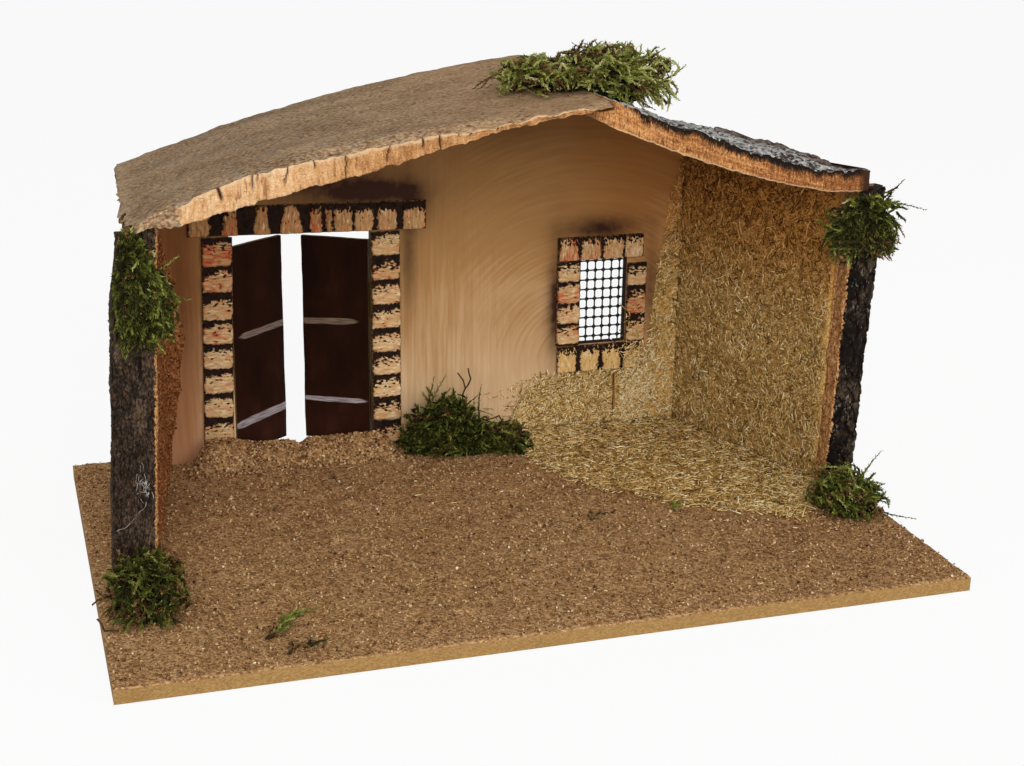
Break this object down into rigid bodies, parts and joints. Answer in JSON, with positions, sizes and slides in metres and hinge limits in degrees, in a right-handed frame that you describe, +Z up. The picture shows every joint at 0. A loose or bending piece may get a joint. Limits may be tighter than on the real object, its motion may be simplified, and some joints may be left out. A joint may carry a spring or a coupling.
{
  "type": "nativity stable",
  "caption": "Nativity stable on a board: cork roof on splayed walls and bark posts, painted back wall with swinging doors and a netted window, brick trim, hay and moss.",
  "frame": {"origin": "centre of the base board's underside", "axes": "+Z up, +X to the right along the board's long side, -Y out of the open front"},
  "size_m": [0.5155, 0.3485, 0.3015],
  "materials": {
    "fibreboard": "bare sawn fibreboard",
    "cork_granules": "loose cork granules set in glue, matt",
    "painted_board": "brushed matt paint on fibreboard",
    "cork_crumb": "coarse cork crumb set in glue",
    "hay": "chopped hay set in glue",
    "bark": "rough dark bark",
    "smooth_cork": "weathered cork, smooth side up",
    "bark_cork": "sawn cork with grey bark on top",
    "brick_strip": "carved cork painted as bricks, dry-brushed",
    "net_plastic": "black moulded net",
    "door_board": "thin hardboard painted dark brown",
    "cloth_tape": "woven cloth tape",
    "moss": "dried and dyed moss"
  },
  "bodies": {
    "stable": {"base_board": "fibreboard", "ground_cover": "cork_granules", "threshold_mound": "cork_granules", "back_wall": "painted_board", "left_side_wall": "painted_board", "right_side_wall": "painted_board", "left_wall_lining": "cork_crumb", "right_wall_hay": "hay", "back_wall_hay": "hay", "floor_hay": "hay", "left_bark_post": "bark", "right_bark_post": "bark", "left_roof_slab": "smooth_cork", "right_roof_slab": "bark_cork", "door_lintel": "brick_strip", "left_door_jamb": "brick_strip", "right_door_jamb": "brick_strip", "window_lintel": "brick_strip", "window_left_jamb": "brick_strip", "window_right_jamb": "brick_strip", "window_sill": "brick_strip", "window_net": "net_plastic", "left_hinge_tapes": "cloth_tape", "right_hinge_tapes": "cloth_tape", "ridge_moss": "moss", "left_eave_moss": "moss", "right_eave_moss": "moss", "left_foot_moss": "moss", "right_foot_moss": "moss", "wall_moss": "moss", "ground_sprigs": "moss"},
    "left_leaf": {"left_door": "door_board"},
    "right_leaf": {"right_door": "door_board"}
  },
  "joints": [
    {"name": "left_door_hinge", "type": "hinge", "parent": "stable", "child": "left_leaf", "pos_m": [-0.13975, 0.155, 0.08445], "axis": [0, 0, 1], "range_deg": [-36, 134], "deforming": ["left_hinge_tapes"]},
    {"name": "right_door_hinge", "type": "hinge", "parent": "stable", "child": "right_leaf", "pos_m": [-0.04225, 0.155, 0.08445], "axis": [0, 0, -1], "range_deg": [-31, 139], "deforming": ["right_hinge_tapes"]}
  ]
}
